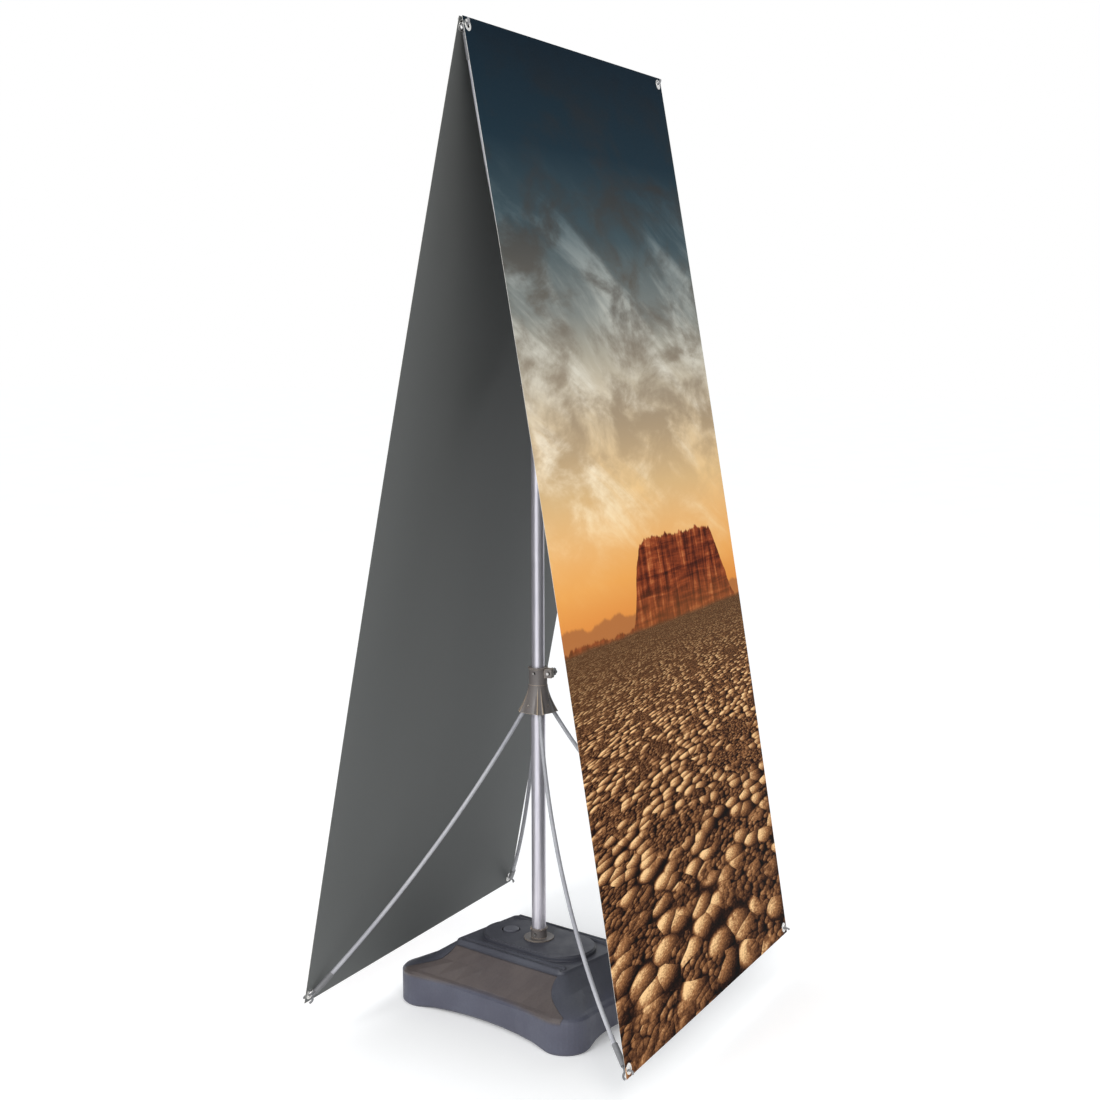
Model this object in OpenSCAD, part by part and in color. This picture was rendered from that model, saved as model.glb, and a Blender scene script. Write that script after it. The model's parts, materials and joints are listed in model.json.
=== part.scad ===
// Double-sided banner stand. Two upright banners lean together like an A and hook
// onto six sprung rods. The rods spread from two hubs on a telescoping mast, and
// the mast stands in a hollow base that is filled with water for weight.
// X runs along the banners' width, the front banner faces -Y and Z is up.
// The origin is on the floor, at the mast's axis.

/* [Banners] */
// Width of each banner
banner_w = 800; // [600:10:1000]
// Height of each banner along its face
banner_h = 1800; // [1600:10:2100]
// Thickness of the banner film
film_t = 0.5; // [0.3:0.1:0.8]
// How far the film bows outwards halfway up
film_bow = 6; // [2:1:20]
// Height of the front banner's lower edge above the floor
foot_gap = 77; // [60:1:130]
// Front banner's lower edge, ahead of the mast
front_spread = 380; // [320:5:450]
// Rear banner's lower edge, behind the mast
rear_spread = 286; // [260:5:400]
// Banners' upper edges, ahead of the mast
apex_lead = 72; // [0:1:90]
// Gap between the two upper edges
apex_gap = 6; // [5:0.5:9]

/* [Eyelets and hooks] */
// Distance of an eyelet from both edges of its corner
eyelet_inset = 14; // [12:1:25]
// Outer diameter of an eyelet
eyelet_d = 20; // [16:1:24]
// Hole through an eyelet
eyelet_bore = 10; // [9:0.5:12]
// Thickness of an eyelet
eyelet_t = 2; // [1.8:0.1:3]
// Diameter of a hook's two tines
tine_d = 4; // [3:0.25:4.25]
// Straight length of a tine between its sleeve and its first bend
tine_lead = 6; // [5:0.5:8]
// Radius of the bends in a tine
tine_bend_r = 8; // [7.5:0.25:10]
// Outer diameter of the sleeve between a rod and its tines
sleeve_d = 11; // [10.75:0.25:12]
// Length of a sleeve
sleeve_len = 45; // [36:1:60]

/* [Rods] */
// Diameter of the sprung rods
rod_d = 8; // [6:0.5:8]
// Steepness of a lower rod where it leaves its hub
lower_steep = 60; // [54:1:66]
// Steepness of an upper rod where it leaves its hub
upper_steep = 52; // [48:1:57]
// Width of the knuckle at a rod's root
knuckle_w = 9.6; // [9.4:0.1:9.8]
// Length of the knuckle's socket, from its pin
knuckle_len = 15; // [13:0.5:16]
// Diameter of the knuckle's eye
eye_d = 9.4; // [9.3:0.05:9.6]
// Diameter of the knuckle's socket, narrower than its eye
socket_d = 9.2; // [8.9:0.05:9.25]
// Diameter of the pivot pins
pin_d = 3.5; // [2.5:0.5:4]

/* [Mast] */
// Outer diameter of the lower mast tube
lower_tube_d = 28; // [26:0.5:32]
// Outer diameter of the upper mast tube
upper_tube_d = 25; // [22:0.5:25.5]
// Wall of both tubes
tube_wall = 1; // [0.8:0.1:1.2]
// Height of the lower tube's upper end
lower_tube_top = 674; // [600:1:800]
// Height of the upper tube's lower end
upper_tube_low = 520; // [500:1:560]
// Height of the upper hub's pivots
upper_pivot_z = 1225; // [1180:5:1300]

/* [Hubs] */
// Height of a hub's flared skirt
skirt_h = 54; // [48:1:65]
// Turn of the lower hub about the mast
hub_turn = -11; // [-20:1:20]
// Radius of the skirt's rim at its wings
wing_r = 38; // [38:0.5:44]
// Radius of the skirt's rim between the wings
skirt_r = 33; // [32:0.5:36]
// Outer diameter of a hub's collar
collar_d = 36; // [35:0.5:40]
// Height of the lower hub's clamping collar above its skirt
clamp_h = 34; // [30:1:44]
// Height of the upper hub's collar beyond its skirt
upper_collar_h = 20; // [16:1:30]
// Radius at which the rods' pins sit
pivot_r = 21; // [20.5:0.5:21]
// Height of the lower hub's pins above its skirt's rim
lower_pivot_rise = 14; // [11:0.5:14]
// Depth of the upper hub's pins below its skirt's rim
upper_pivot_rise = 8; // [7:0.5:9]
// Width of the split in the clamping collar
split_w = 3; // [2:0.5:4]
// Thickness of each clamping ear
ear_t = 6; // [4:0.5:8]
// Height of the clamping ears
ear_h = 18; // [14:1:24]
// Reach of the clamping ears from the mast's axis
ear_reach = 31; // [30:0.5:34]
// Turn of the clamp's split and ears about the mast
clamp_turn = 4; // [0:1:8]
// Diameter of the clamp bolt
bolt_d = 6; // [5:0.5:8]
// Diameter of the clamp's knob
knob_d = 16; // [14:1:18]
// Thickness of the clamp's knob
knob_t = 10; // [8:1:14]

/* [Base] */
// Width of the base between its lobes' outer faces
base_w = 370; // [320:5:420]
// Length of the base between its lobes' outer faces
base_l = 460; // [400:5:520]
// Turn of the base about the mast
base_turn = -12.5; // [-45:0.5:45]
// Radius of the four corner lobes
lobe_r = 50; // [40:1:60]
// Depth of the hollow in each side between the lobes
side_dent = 20; // [10:1:26]
// Height of the side walls
side_h = 56; // [46:1:64]
// How much higher the walls stand at the lobes
lobe_rise = 10; // [4:1:14]
// Height of the flat deck
deck_z = 122; // [110:1:140]
// Width of the flat deck
deck_w = 196; // [188:2:206]
// Length of the flat deck
deck_l = 286; // [270:2:320]
// Height of the raised oval pad above the deck
pad_h = 10; // [6:1:14]
// Width of the oval pad
pad_w = 132; // [110:2:136]
// Length of the oval pad
pad_l = 256; // [230:2:262]
// Height of the arches between the lobes' feet
arch_h = 8; // [6:1:16]
// Wall of the hollow base
tank_wall = 3; // [2:0.5:4]
// Diameter of the flange disc
flange_d = 60; // [52:1:70]
// Height of the flange's collar
flange_h = 22; // [18:1:32]
// Distance of the filler cap behind the mast
cap_back = 74; // [68:1:92]
// Diameter of the filler cap
cap_d = 32; // [28:1:36]

/* [Hidden] */
$fn = 64;
// Extra depth of every cut
overrun = 1;
// Gap of pieces fixed in each other
fit_gap = 0.1;
// Gap of pieces that turn or slide in each other
run_gap = 0.05;
// Gap of pieces that lie near each other
seat_gap = 0.3;

// Finishes as the object shows them
plastic_dark = [0.25, 0.26, 0.30];
plastic_taupe = [0.38, 0.37, 0.37];
metal_pale = [0.72, 0.71, 0.74];
metal_bright = [0.85, 0.86, 0.88];
rod_grey = [0.66, 0.66, 0.67];
sleeve_grey = [0.45, 0.45, 0.46];
rubber_black = [0.10, 0.10, 0.11];
film_grey = [0.36, 0.38, 0.37];

// Vector helpers
function unit(v) = v / norm(v);
function turned(az, r, z) = [r * cos(az), r * sin(az), z];
function heading(az, elev) = [cos(az) * cos(elev), sin(az) * cos(elev), sin(elev)];
function across(v, d) = unit(v - (v * d) * d);
function azimuth(p) = atan2(p.y, p.x);
// Angle of a length along a circle
function arc_angle(len, r) = len / r * 180 / PI;

// Planes of the two banners: lower edge, direction up the face, direction outwards
front_top_y = -apex_lead - apex_gap / 2;
rear_top_y = -apex_lead + apex_gap / 2;
front_rise = sqrt(pow(banner_h, 2) - pow(front_spread + front_top_y, 2));
top_z = foot_gap + front_rise;
rear_rise = sqrt(pow(banner_h, 2) - pow(rear_spread - rear_top_y, 2));
front_low = [0, -front_spread, foot_gap];
rear_low = [0, rear_spread, top_z - rear_rise];
front_up = [0, front_spread + front_top_y, front_rise] / banner_h;
rear_up = [0, rear_top_y - rear_spread, rear_rise] / banner_h;
front_out = [0, -front_up.z, front_up.y];
rear_out = [0, rear_up.z, -rear_up.y];
// Strips that make the film's bow
film_strips = 16;

function bow_at(v) = film_bow * 4 * (v / banner_h) * (1 - v / banner_h);
function film_at(low, up, out, v) = low + up * v + out * bow_at(v);
function eyelet_at(low, up, out, side, v) =
    film_at(low, up, out, v) + [side * (banner_w / 2 - eyelet_inset), 0, 0];

// Lip of the clamping collar over the lower tube's end
collar_lip = 9;
// Heights of the hubs
lower_rim_z = lower_tube_top + seat_gap + collar_lip - clamp_h - skirt_h;
lower_pivot_z = lower_rim_z + lower_pivot_rise;
upper_rim_z = upper_pivot_z + upper_pivot_rise;
hub_top_z = lower_rim_z + skirt_h + clamp_h;

// A tine leaves along the rod, bends aside and bends back past the rod's heading
tine_turn = 55;
tine_return = 75;
// Gap between the two tines of a hook, where they leave the sleeve
tine_gap = 0.4;
tine_offset = (tine_d + tine_gap) / 2;
// Where on its first bend a lower hook's tine passes through the eyelet
cross_turn = 45;

// How far an eyelet hangs off a tine's axis, with the tine tilted in its bore
function eyelet_shift(tine_dir, out) = let (c = tine_dir * out)
    eyelet_bore / 2 - tine_d / 2 / c - eyelet_t / 2 * tan(acos(c)) - seat_gap;

// Start of a hook's tines, from the eyelet's centre, its outward side and the rod
function fork_start(eye, out, d, turn, reach) = let (
    m = across(out, d),
    tine_dir = d * cos(turn) + m * sin(turn),
    pull = unit(d - (d * out) * out)
) eye + pull * eyelet_shift(tine_dir, out) - d * (tine_lead + tine_bend_r * sin(turn)) - m * reach;

// Heading of a rod's tip, from its pivot, its tip and its heading at the pivot
function tip_heading(root, tip, leave) = let (c = unit(tip - root)) 2 * (c * leave) * c - leave;

// One arm: its pivot, the start of its tines, its headings at both ends and
// the direction across its tip in which its outer tine bends
function make_arm(root, leave, eye, out, turn, reach) = let (
    first = fork_start(eye, out, tip_heading(root, eye, leave), turn, reach),
    tip = fork_start(eye, out, tip_heading(root, first, leave), turn, reach),
    d = tip_heading(root, tip, leave)
) [root, tip, leave, d, across(out, d)];

function lower_eye(front, side) = front
    ? eyelet_at(front_low, front_up, front_out, side, eyelet_inset)
    : eyelet_at(rear_low, rear_up, rear_out, side, eyelet_inset);
function lower_arm(front, side) = let (
    az = hub_turn + (front ? -90 + 45 * side : 90 - 45 * side)
) make_arm(turned(az, pivot_r, lower_pivot_z), heading(az, -lower_steep),
    lower_eye(front, side), front ? front_out : rear_out,
    cross_turn, tine_offset + tine_bend_r * (1 - cos(cross_turn)));

top_v = banner_h - eyelet_inset;
function top_front_eye(side) = eyelet_at(front_low, front_up, front_out, side, top_v);
function top_rear_eye(side) = eyelet_at(rear_low, rear_up, rear_out, side, top_v);
// Bend at which the upper hooks' two tines meet the two banners
top_half_gap = norm(top_front_eye(1) - top_rear_eye(1)) / 2;
top_turn = acos(1 - (top_half_gap - tine_offset) / tine_bend_r);
function top_arm(side) = let (
    eye = (top_front_eye(side) + top_rear_eye(side)) / 2,
    az = azimuth(eye)
) make_arm(turned(az, pivot_r, upper_pivot_z), heading(az, upper_steep), eye, [0, -1, 0], top_turn, 0);

// The arms by name
front_left = lower_arm(true, -1);
front_right = lower_arm(true, 1);
rear_left = lower_arm(false, -1);
rear_right = lower_arm(false, 1);
top_left = top_arm(-1);
top_right = top_arm(1);
lower_arms = [front_left, front_right, rear_left, rear_right];
upper_arms = [top_left, top_right];

// A rod is an arc: its chord, half the angle it turns through, its radius and length
function arm_chord(arm) = norm(arm[1] - arm[0]);
function arm_half(arm) = acos(unit(arm[1] - arm[0]) * arm[2]);
function arm_radius(arm) = arm_chord(arm) / (2 * sin(arm_half(arm)));
function arm_length(arm) = arm_radius(arm) * 2 * arm_half(arm) * PI / 180;
function arm_steep(arm) = asin(abs(arm[2].z));

// Puts children with X along x_dir, Y along the part of y_dir across it
module in_frame(at, x_dir, y_dir) {
    y = across(y_dir, x_dir);
    z = cross(x_dir, y);
    multmatrix([
        [x_dir.x, y.x, z.x, at.x],
        [x_dir.y, y.y, z.y, at.y],
        [x_dir.z, y.z, z.z, at.z]
    ]) children();
}

// A round tube along an arm's arc between two distances from its pivot
module bowed(arm, from, to, d) {
    r = arm_radius(arm);
    half = arm_half(arm);
    in_frame(arm[0], unit(arm[1] - arm[0]), arm[2])
        translate([arm_chord(arm) / 2, -r * cos(half), 0])
            rotate([0, 0, 90 + half - arc_angle(to, r)])
                rotate_extrude(angle = arc_angle(to - from, r))
                    translate([r, 0])
                        circle(d = d, $fn = 48);
}

module tube(d, wall, low, high) {
    translate([0, 0, low])
        difference() {
            cylinder(d = d, h = high - low);
            translate([0, 0, -overrun])
                cylinder(d = d - 2 * wall, h = high - low + 2 * overrun);
        }
}

// Rod between its knuckle and its sleeve
rod_bed = 24;
module rod(arm) {
    color(rod_grey)
        bowed(arm, eye_d / 2 + 3 * seat_gap, arm_length(arm) - sleeve_len + rod_bed, rod_d);
}

// Knuckle: an eye round the pin and a socket for the rod
module knuckle(arm) {
    color(plastic_taupe)
        difference() {
            union() {
                knuckle_eye(arm, eye_d, knuckle_w);
                bowed(arm, 0, knuckle_len, socket_d);
            }
            bowed(arm, eye_d / 2 + seat_gap, knuckle_len + overrun, rod_d + 2 * fit_gap);
            knuckle_eye(arm, pin_d + 2 * run_gap, knuckle_w + 2 * overrun);
        }
}

module knuckle_eye(arm, d, w) {
    translate(arm[0])
        rotate([0, 0, azimuth(arm[0])])
            rotate([90, 0, 0])
                cylinder(d = d, h = w, center = true);
}

// One tine with its stem, bent towards +Y and back
tine_bed = 14;
// Rounded end of a tine, and the crest where its two bends meet, against its wire
tine_ball_share = 1.12;
tine_crest_share = 1.02;
module tine() {
    r = tine_bend_r;
    turn_x = 2 * r * sin(tine_turn);
    turn_y = 2 * r * (1 - cos(tine_turn));
    back = tine_return - tine_turn;
    translate([-tine_bed, 0, 0])
        rotate([0, 90, 0])
            cylinder(d = tine_d, h = tine_bed + tine_lead, $fn = 32);
    translate([tine_lead, r, 0])
        rotate([0, 0, -90])
            rotate_extrude(angle = tine_turn)
                translate([r, 0])
                    circle(d = tine_d, $fn = 32);
    translate([tine_lead + turn_x / 2, turn_y / 2, 0])
        sphere(d = tine_d * tine_crest_share, $fn = 32);
    translate([tine_lead + turn_x, turn_y - r, 0]) {
        rotate([0, 0, 90 - back])
            rotate_extrude(angle = tine_return)
                translate([r, 0])
                    circle(d = tine_d, $fn = 32);
        translate([r * sin(back), r * cos(back), 0])
            sphere(d = tine_d * tine_ball_share, $fn = 32);
    }
}

// Puts children in the sleeve's end, once for each tine
module at_tines(arm) {
    for (side = [-1, 1])
        in_frame(arm[1] + side * arm[4] * tine_offset, arm[3], side * arm[4])
            children();
}

module tines(arm) {
    color(sleeve_grey)
        at_tines(arm)
            tine();
}

// Sleeve on the rod's end, which also holds the tines' stems
module sleeve(arm) {
    len = arm_length(arm);
    color(sleeve_grey)
        difference() {
            bowed(arm, len - sleeve_len, len, sleeve_d);
            bowed(arm, len - sleeve_len - overrun, len - sleeve_len + rod_bed + seat_gap, rod_d + 2 * fit_gap);
            at_tines(arm)
                translate([-tine_bed - seat_gap, 0, 0])
                    rotate([0, 90, 0])
                        cylinder(d = tine_d + 2 * fit_gap, h = tine_bed + 2 * overrun, $fn = 32);
        }
}

// Barrel of an eyelet, which the film's hole goes round
barrel_d = eyelet_bore + 2;
// Width of the groove that holds the film
groove_w = film_t + 2 * seat_gap;
module eyelet(at, out) {
    color(metal_bright)
        in_frame(at, out, [1, 0, 0])
            rotate([0, 90, 0])
                rotate_extrude()
                    polygon([
                        [eyelet_bore / 2, -eyelet_t / 2], [eyelet_d / 2, -eyelet_t / 2],
                        [eyelet_d / 2, -groove_w / 2], [barrel_d / 2, -groove_w / 2],
                        [barrel_d / 2, groove_w / 2], [eyelet_d / 2, groove_w / 2],
                        [eyelet_d / 2, eyelet_t / 2], [eyelet_bore / 2, eyelet_t / 2]
                    ]);
}

// Banner: a thin film, bowed along its height and pierced by its eyelets
module banner(low, up, out) {
    function side_at(i, half) = film_at(low, up, out, banner_h * i / film_strips) + out * half;
    face = [for (i = [0:film_strips]) side_at(i, film_t / 2)];
    back = [for (i = [film_strips:-1:0]) side_at(i, -film_t / 2)];
    color(film_grey)
        difference() {
            rotate([90, 0, 90])
                linear_extrude(height = banner_w, center = true)
                    polygon([for (p = concat(face, back)) [p.y, p.z]]);
            for (side = [-1, 1])
                for (v = [eyelet_inset, top_v])
                    in_frame(eyelet_at(low, up, out, side, v), out, [1, 0, 0])
                        rotate([0, 90, 0])
                            cylinder(d = barrel_d + 2 * seat_gap, h = eyelet_d, center = true);
        }
}

// Flare of a hub's skirt, from its rim (0) to its collar (1)
flare_power = 1.6;
// Small step where the skirt meets its collar
collar_step = 0.6;
skirt_rings = 8;
skirt_points = 144;
skirt_top_r = collar_d / 2 + collar_step;
function flare(rim, t) = skirt_top_r + (rim - skirt_top_r) * pow(1 - t, flare_power);
// Wings over the arms: half their flat width and where they end, as angles
wing_flat = 9;
wing_end = 22;
function wing(off) = let (t = max(0, min(1, (wing_end - off) / (wing_end - wing_flat)))) t * t * (3 - 2 * t);
// Ribs along both edges of a wing
rib_h = 1.5;
rib_half = 4;
function rib(off) = rib_h * max(0, 1 - abs(off - wing_flat) / rib_half);
function off_arm(a, arms) = min([for (arm = arms) acos(cos(a - azimuth(arm[0])))]);
function skirt_point(a, t, arms) = let (off = off_arm(a, arms)) turned(a,
    flare(skirt_r, t) + (flare(wing_r, t) - flare(skirt_r, t)) * wing(off) + rib(off) * (1 - t), skirt_h * t);

// Skirt with its rim at 0 and its collar end at skirt_h
module skirt(arms) {
    n = skirt_points;
    points = [for (k = [0:skirt_rings]) for (i = [0:n - 1]) skirt_point(i * 360 / n, k / skirt_rings, arms)];
    walls = [for (k = [0:skirt_rings - 1]) for (i = [0:n - 1])
        let (a = k * n + i, b = k * n + (i + 1) % n) each [[a, b + n, b], [a, a + n, b + n]]];
    rim = [for (i = [0:n - 1]) i];
    lid = [for (i = [n - 1:-1:0]) skirt_rings * n + i];
    polyhedron(points, concat(walls, [rim], [lid]));
}

// Slot for one arm's knuckle: its outer wall is the knuckle's stop
module arm_slot(arm, rise) {
    steep = arm_steep(arm);
    reach = knuckle_w / 2 + seat_gap;
    roof = rise + eye_d / 2 + seat_gap;
    inner = pivot_r - eye_d / 2 - seat_gap;
    function on_wall(z) = pivot_r + reach / sin(steep) + (rise - z) / tan(steep);
    rotate([0, 0, azimuth(arm[0])])
        rotate([90, 0, 0])
            linear_extrude(height = knuckle_w + 2 * seat_gap, center = true)
                polygon([
                    [inner, -overrun], [on_wall(-overrun), -overrun],
                    [on_wall(roof), roof], [inner, roof]
                ]);
}

// Pins lie from a blind end on one side to a drilled side on the other
pin_blind = knuckle_w / 2 + 5;
pin_open = knuckle_w / 2 + 8;
module pin(arm, rise, gap, open) {
    rotate([0, 0, azimuth(arm[0])])
        translate([pivot_r, -pin_blind - gap, rise])
            rotate([-90, 0, 0])
                cylinder(d = pin_d + 2 * gap, h = pin_blind + open + 2 * gap, $fn = 32);
}

module hub_body(arms, collar_h, rise) {
    difference() {
        union() {
            skirt(arms);
            translate([0, 0, skirt_h - overrun])
                cylinder(d = collar_d, h = collar_h + overrun);
        }
        for (arm = arms) {
            arm_slot(arm, rise);
            pin(arm, rise, fit_gap / 2, wing_r);
        }
    }
}

// Lip round the top of the clamping collar
hub_lip = 1.5;
hub_lip_t = 3;
// Clamp bolt's place, out from the mast's axis and up the clamping collar
ear_face = split_w / 2 + ear_t;
bolt_y = -(sqrt(pow(collar_d / 2, 2) - pow(ear_face, 2)) + seat_gap + knob_d / 2);
ear_top_z = hub_top_z - hub_lip_t / 2;
bolt_z = ear_top_z - ear_h / 2;
screw_z = bolt_z;
// Length of the split below the collar, as a share of the skirt
split_share = 0.6;
split_low = lower_rim_z + skirt_h * (1 - split_share);

module lower_hub() {
    color(plastic_taupe)
        difference() {
            union() {
                translate([0, 0, lower_rim_z])
                    hub_body(lower_arms, clamp_h, lower_pivot_rise);
                translate([0, 0, hub_top_z - hub_lip_t])
                    cylinder(d = collar_d + 2 * hub_lip, h = hub_lip_t);
                rotate([0, 0, clamp_turn])
                    translate([-ear_face, -ear_reach, ear_top_z - ear_h])
                        cube([2 * ear_face, ear_reach, ear_h]);
            }
            translate([0, 0, lower_rim_z - overrun])
                cylinder(d = lower_tube_d + 2 * fit_gap, h = lower_tube_top + seat_gap - lower_rim_z + overrun);
            cylinder(d = upper_tube_d + 2 * run_gap, h = hub_top_z + overrun);
            rotate([0, 0, clamp_turn]) {
                translate([-split_w / 2, -ear_reach - overrun, split_low])
                    cube([split_w, ear_reach + overrun, hub_top_z - split_low + overrun]);
                translate([0, bolt_y, bolt_z])
                    rotate([0, 90, 0])
                        cylinder(d = bolt_d + 2 * fit_gap, h = split_w + 2 * ear_t + 2 * overrun, center = true);
            }
            side_screw_hole(collar_d / 2, screw_z);
        }
}

module upper_hub() {
    color(plastic_taupe)
        difference() {
            translate([0, 0, upper_rim_z])
                mirror([0, 0, 1])
                    hub_body(upper_arms, upper_collar_h, upper_pivot_rise);
            cylinder(d = upper_tube_d + 2 * fit_gap, h = upper_rim_z + overrun);
            side_screw_hole(collar_d / 2, upper_screw_z);
        }
}
upper_screw_z = upper_rim_z - skirt_h - upper_collar_h / 2;

// Pan-head screws that enter a collar from its left side
screw_d = 4;
screw_head_d = 7;
screw_head_t = 2.4;
cross_w = 1;
cross_depth = 1.2;
module side_screw_hole(r, z) {
    translate([0, 0, z])
        rotate([0, -90, 0])
            cylinder(d = screw_d + 2 * fit_gap, h = r + overrun);
}

module side_screw(r, z, tip_r) {
    color(metal_bright)
        translate([0, 0, z])
            rotate([0, -90, 0])
                difference() {
                    union() {
                        translate([0, 0, tip_r])
                            cylinder(d = screw_d, h = r - tip_r + overrun, $fn = 32);
                        translate([0, 0, r])
                            cylinder(d1 = screw_head_d, d2 = screw_head_d * head_top_share, h = screw_head_t);
                    }
                    for (turn = [0, 90])
                        rotate([0, 0, turn])
                            translate([0, 0, r + screw_head_t])
                                cube([screw_d, cross_w, 2 * cross_depth], center = true);
                }
}
// Top of a pan head, against its rim
head_top_share = 0.6;

module lower_hub_screw() {
    side_screw(collar_d / 2, screw_z, lower_tube_d / 2 - tube_wall);
}

module upper_hub_screw() {
    side_screw(collar_d / 2, upper_screw_z, upper_tube_d / 2 - tube_wall);
}

// Clamp: a bolt held by the left ear, a washer and a lobed knob on the right
washer_t = 1.6;
bolt_head_d = 9;
bolt_head_t = 4;
knob_lobes = 6;
knob_dent_share = 0.28;
// Puts children at the clamp, with Z along its bolt
module at_clamp(out) {
    rotate([0, 0, clamp_turn])
        translate([out, bolt_y, bolt_z])
            rotate([0, 90, 0])
                children();
}

module clamp_bolt() {
    color(metal_bright)
        at_clamp(0) {
            translate([0, 0, -ear_face - bolt_head_t])
                cylinder(d1 = bolt_head_d * head_top_share, d2 = bolt_head_d, h = bolt_head_t);
            translate([0, 0, -ear_face - overrun])
                cylinder(d = bolt_d, h = 2 * ear_face + overrun + washer_t + knob_t - seat_gap);
        }
}

module clamp_washer() {
    color(metal_bright)
        at_clamp(ear_face)
            difference() {
                cylinder(d = 2 * bolt_d, h = washer_t);
                translate([0, 0, -overrun])
                    cylinder(d = bolt_d + 2 * run_gap, h = washer_t + 2 * overrun);
            }
}

module clamp_knob() {
    color(plastic_dark)
        at_clamp(ear_face + washer_t)
            difference() {
                cylinder(d = knob_d, h = knob_t);
                for (i = [0:knob_lobes - 1])
                    rotate([0, 0, i * 360 / knob_lobes])
                        translate([knob_d / 2 * (1 + knob_dent_share / 2), 0, -overrun])
                            cylinder(d = knob_d * knob_dent_share, h = knob_t + 2 * overrun);
                translate([0, 0, -overrun])
                    cylinder(d = bolt_d + 2 * run_gap, h = knob_t + 2 * overrun);
            }
}

// Mast tubes and what closes them
well_floor = 12;
plug_foot_t = 4;
plug_len = 18;
bush_len = 16;
top_cap_t = 4;
spigot_d = lower_tube_d + 6;
lower_tube_low = well_floor + plug_foot_t;
upper_tube_high = upper_rim_z + 3;

module lower_mast_tube() {
    color(metal_pale)
        difference() {
            tube(lower_tube_d, tube_wall, lower_tube_low, lower_tube_top);
            rotate([0, 0, clamp_turn])
                translate([-split_w / 2, -lower_tube_d, split_low])
                    cube([split_w, lower_tube_d, lower_tube_top - split_low + overrun]);
            side_screw_hole(lower_tube_d / 2, screw_z);
        }
}

module lower_tube_plug() {
    color(rubber_black) {
        translate([0, 0, well_floor])
            cylinder(d = spigot_d - 2 * seat_gap, h = plug_foot_t);
        translate([0, 0, lower_tube_low - overrun])
            cylinder(d = lower_tube_d - 2 * tube_wall - 2 * fit_gap, h = plug_len + overrun);
    }
}

module upper_mast_tube() {
    color(metal_pale)
        difference() {
            tube(upper_tube_d, tube_wall, upper_tube_low, upper_tube_high);
            side_screw_hole(upper_tube_d / 2, upper_screw_z);
        }
}

module mast_bush() {
    color(rubber_black) {
        translate([0, 0, upper_tube_low - bush_len])
            cylinder(d = lower_tube_d - 2 * tube_wall - 2 * run_gap, h = bush_len);
        translate([0, 0, upper_tube_low - overrun])
            cylinder(d = upper_tube_d - 2 * tube_wall - 2 * fit_gap, h = bush_len + overrun);
    }
}

module mast_top_cap() {
    color(rubber_black) {
        translate([0, 0, upper_tube_high])
            cylinder(d1 = upper_tube_d + 2, d2 = upper_tube_d - 2, h = top_cap_t);
        translate([0, 0, upper_tube_high - bush_len])
            cylinder(d = upper_tube_d - 2 * tube_wall - 2 * fit_gap, h = bush_len + overrun);
    }
}

// Outline of the base: four round lobes with dented sides between them
corner_steps = 10;
side_steps = 7;
lobe_wrap = 14;
function inward(q) = -[cos(90 * (q + 1)), sin(90 * (q + 1))];
function corner_pt(q, a, hx, hy, r) = let (mid = 90 * q + 45)
    [sign(cos(mid)) * (hx - r) + r * cos(a), sign(sin(mid)) * (hy - r) + r * sin(a)];
// One ring as [x, y, z] points, with arches of the given height in its sides
// and its lobes raised
function base_ring(z, inset, blend, arch, rise) = let (
    hx = base_w / 2 * (1 - blend) + deck_w / 2 * blend - inset,
    hy = base_l / 2 * (1 - blend) + deck_l / 2 * blend - inset,
    r = lobe_r * (1 - blend) + deck_corner_r * blend - inset,
    wrap = lobe_wrap * (1 - blend),
    dent = side_dent * (1 - blend)
) [for (q = [0:3]) let (
        last = corner_pt(q, 90 * (q + 1) + wrap, hx, hy, r),
        next = corner_pt((q + 1) % 4, 90 * (q + 1) - wrap, hx, hy, r)
    ) each concat(
        [for (i = [0:corner_steps]) let (p = corner_pt(q, 90 * q - wrap + i * (90 + 2 * wrap) / corner_steps, hx, hy, r))
            [p.x, p.y, z + rise]],
        [for (i = [1:side_steps]) let (
                t = i / (side_steps + 1),
                p = last + (next - last) * t + inward(q) * (dent * 4 * t * (1 - t))
            ) [p.x, p.y, z + arch * sqrt(4 * t * (1 - t)) + rise * pow(2 * t - 1, 2)]]
    )];
deck_corner_r = 16;
edge_r = 5;
shoulder_w = 12;
shoulder_z = side_h + edge_r + 3;
// Wall under the slopes, measured down, against the tank's wall
slope_share = 1.5;
// How far the slopes have come in halfway up
slope_blend_share = 0.55;
// Flat band under each lobe, on which the base stands
foot_w = 22;

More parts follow.
